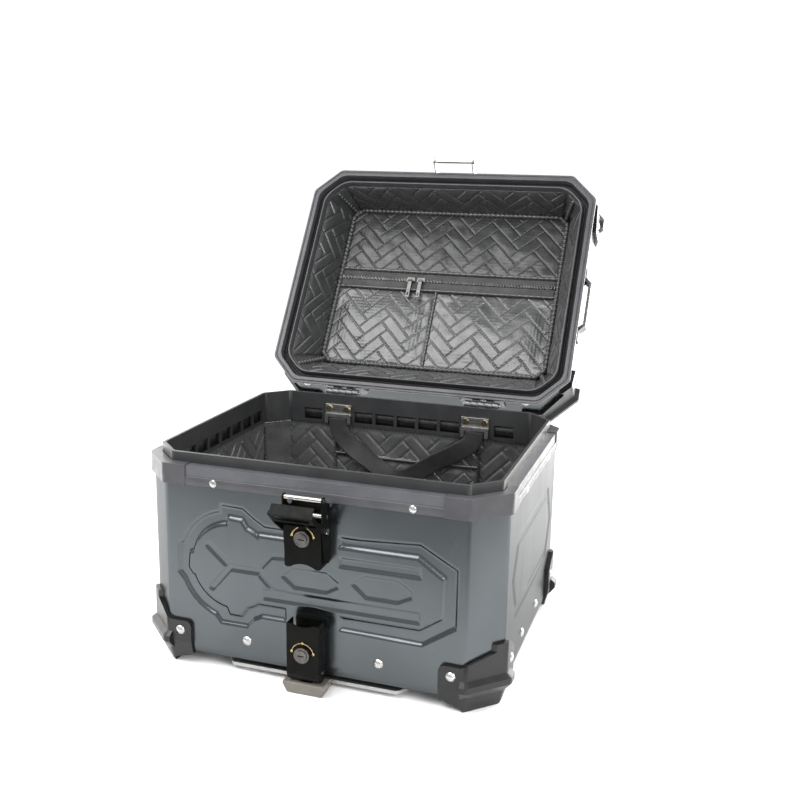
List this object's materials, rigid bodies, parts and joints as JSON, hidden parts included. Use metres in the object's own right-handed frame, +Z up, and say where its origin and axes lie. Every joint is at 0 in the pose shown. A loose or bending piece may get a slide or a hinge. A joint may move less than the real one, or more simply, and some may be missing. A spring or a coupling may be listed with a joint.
{
  "type": "motorcycle top case",
  "caption": "Aluminium motorcycle top case with an open hinged lid, quilted lining, draw latch, quick-release base and corner guards.",
  "frame": {"origin": "middle of the slotted bolt pattern, on the underside of the quick-release plate", "axes": "+X across the case, -Y out of the latch side, +Z up; the lid's hinge is on the +Y side"},
  "size_m": [0.4428, 0.6721, 0.5804],
  "materials": {
    "wall_metal": "satin brushed, gunmetal anodised",
    "rim_plastic": "fine moulded texture",
    "guard_plastic": "moulded, slightly glossy",
    "rivet_steel": "polished domes",
    "hinge_metal": "satin black",
    "latch_black": "satin black",
    "latch_chrome": "polished",
    "key_metal": "turned",
    "seal_rubber": "matt",
    "quilted_leather": "quilted, soft sheen",
    "webbing": "woven tape",
    "zipper_fabric": "woven tape",
    "zipper_metal": "dark coil and enamelled sliders",
    "lining_board": "hidden stiffener",
    "plate_metal": "mill finish",
    "foot_rubber": "matt",
    "screw_brass": "plated"
  },
  "bodies": {
    "case": {"cargo_strap": "webbing", "case_floor": "wall_metal", "case_lining": "quilted_leather", "case_rim": "rim_plastic", "case_wall": "wall_metal", "catch_pin": "latch_chrome", "claw_studs": "latch_chrome", "corner_guard_front_left": "guard_plastic", "corner_guard_front_right": "guard_plastic", "corner_guard_rear_left": "guard_plastic", "corner_guard_rear_right": "guard_plastic", "floor_mat": "quilted_leather", "foot_block": "guard_plastic", "guard_rivets": "rivet_steel", "hinge_case_leaves": "hinge_metal", "hinge_pins": "latch_chrome", "lower_latch_base": "latch_black", "lower_lever_pins": "latch_chrome", "plate_keepers": "plate_metal", "plate_pads": "foot_rubber", "rear_pocket": "quilted_leather", "release_plate": "plate_metal", "rim_sleeves": "rim_plastic", "strap_loops": "rivet_steel", "strap_plates": "hinge_metal", "strap_screws": "screw_brass", "upper_cross_rod": "latch_chrome", "upper_latch_base": "latch_black", "upper_lever_pin": "latch_chrome", "wall_rivets": "rivet_steel"},
    "lid": {"lid_shell": "wall_metal", "lid_rim": "rim_plastic", "lid_seal": "seal_rubber", "lid_corner_guards": "guard_plastic", "tie_rails": "hinge_metal", "lid_rivets": "rivet_steel", "striker_bracket": "latch_chrome", "striker_pin": "latch_chrome", "lid_wall_lining": "quilted_leather", "lid_backing_board": "lining_board", "lid_upper_panel": "quilted_leather", "lid_pocket_left": "quilted_leather", "lid_pocket_right": "quilted_leather", "zipper_tape": "zipper_fabric", "zipper_teeth": "zipper_metal", "hinge_lid_leaf_left": "hinge_metal", "hinge_lid_leaf_right": "hinge_metal"},
    "upper_lever": {"upper_latch_lever": "latch_black", "upper_key_barrel": "key_metal"},
    "upper_key": {"upper_key_plug": "key_metal"},
    "upper_claw": {"upper_latch_claw": "latch_black"},
    "lower_lever": {"lower_latch_lever": "latch_black", "lower_key_barrel": "key_metal", "lower_hook_pin": "latch_chrome"},
    "lower_key": {"lower_key_plug": "key_metal"},
    "hook": {"lower_hook": "latch_chrome"},
    "slider_left": {"zip_slider_left": "zipper_metal"},
    "slider_right": {"zip_slider_right": "zipper_metal"},
    "pull_left": {"zip_pull_left": "zipper_metal"},
    "pull_right": {"zip_pull_right": "zipper_metal"}
  },
  "joints": [
    {"name": "lid_hinge", "type": "hinge", "parent": "case", "child": "lid", "pos_m": [0, 0.182, 0.2475], "axis": [1, 0, 0], "range_deg": [0, 123.7]},
    {"name": "upper_lever_lift", "type": "hinge", "parent": "case", "child": "upper_lever", "pos_m": [0, -0.183, 0.2015], "axis": [-1, 0, 0], "range_deg": [0, 45]},
    {"name": "upper_key_turn", "type": "hinge", "parent": "upper_lever", "child": "upper_key", "pos_m": [0, -0.197, 0.1785], "axis": [0, -1, 0], "range_deg": [0, 90]},
    {"name": "claw_swing", "type": "hinge", "parent": "case", "child": "upper_claw", "pos_m": [0, -0.189, 0.1875], "axis": [-1, 0, 0], "range_deg": [0, 43]},
    {"name": "lower_lever_lift", "type": "hinge", "parent": "case", "child": "lower_lever", "pos_m": [0, -0.186, 0.0205], "axis": [1, 0, 0], "range_deg": [0, 25]},
    {"name": "lower_key_turn", "type": "hinge", "parent": "lower_lever", "child": "lower_key", "pos_m": [0, -0.199, 0.0445], "axis": [0, -1, 0], "range_deg": [0, 90]},
    {"name": "hook_pivot", "type": "hinge", "parent": "lower_lever", "child": "hook", "pos_m": [0, -0.181, 0.0325], "axis": [1, 0, 0], "range_deg": [-26, 0]},
    {"name": "zip_left_run", "type": "slide", "parent": "lid", "child": "slider_left", "axis": [1, 0, 0], "range_m": [-0.1, 0]},
    {"name": "zip_right_run", "type": "slide", "parent": "lid", "child": "slider_right", "axis": [1, 0, 0], "range_m": [0, 0.19]},
    {"name": "pull_left_flip", "type": "hinge", "parent": "slider_left", "child": "pull_left", "pos_m": [-0.054, 0.33925, 0.3912], "axis": [-1, 0, 0], "range_deg": [0, 120]},
    {"name": "pull_right_flip", "type": "hinge", "parent": "slider_right", "child": "pull_right", "pos_m": [-0.038, 0.33925, 0.3912], "axis": [-1, 0, 0], "range_deg": [0, 120]}
  ],
  "couplings": [
    {"joint": "hook_pivot", "follows": "lower_lever_lift", "ratio": -1}
  ]
}
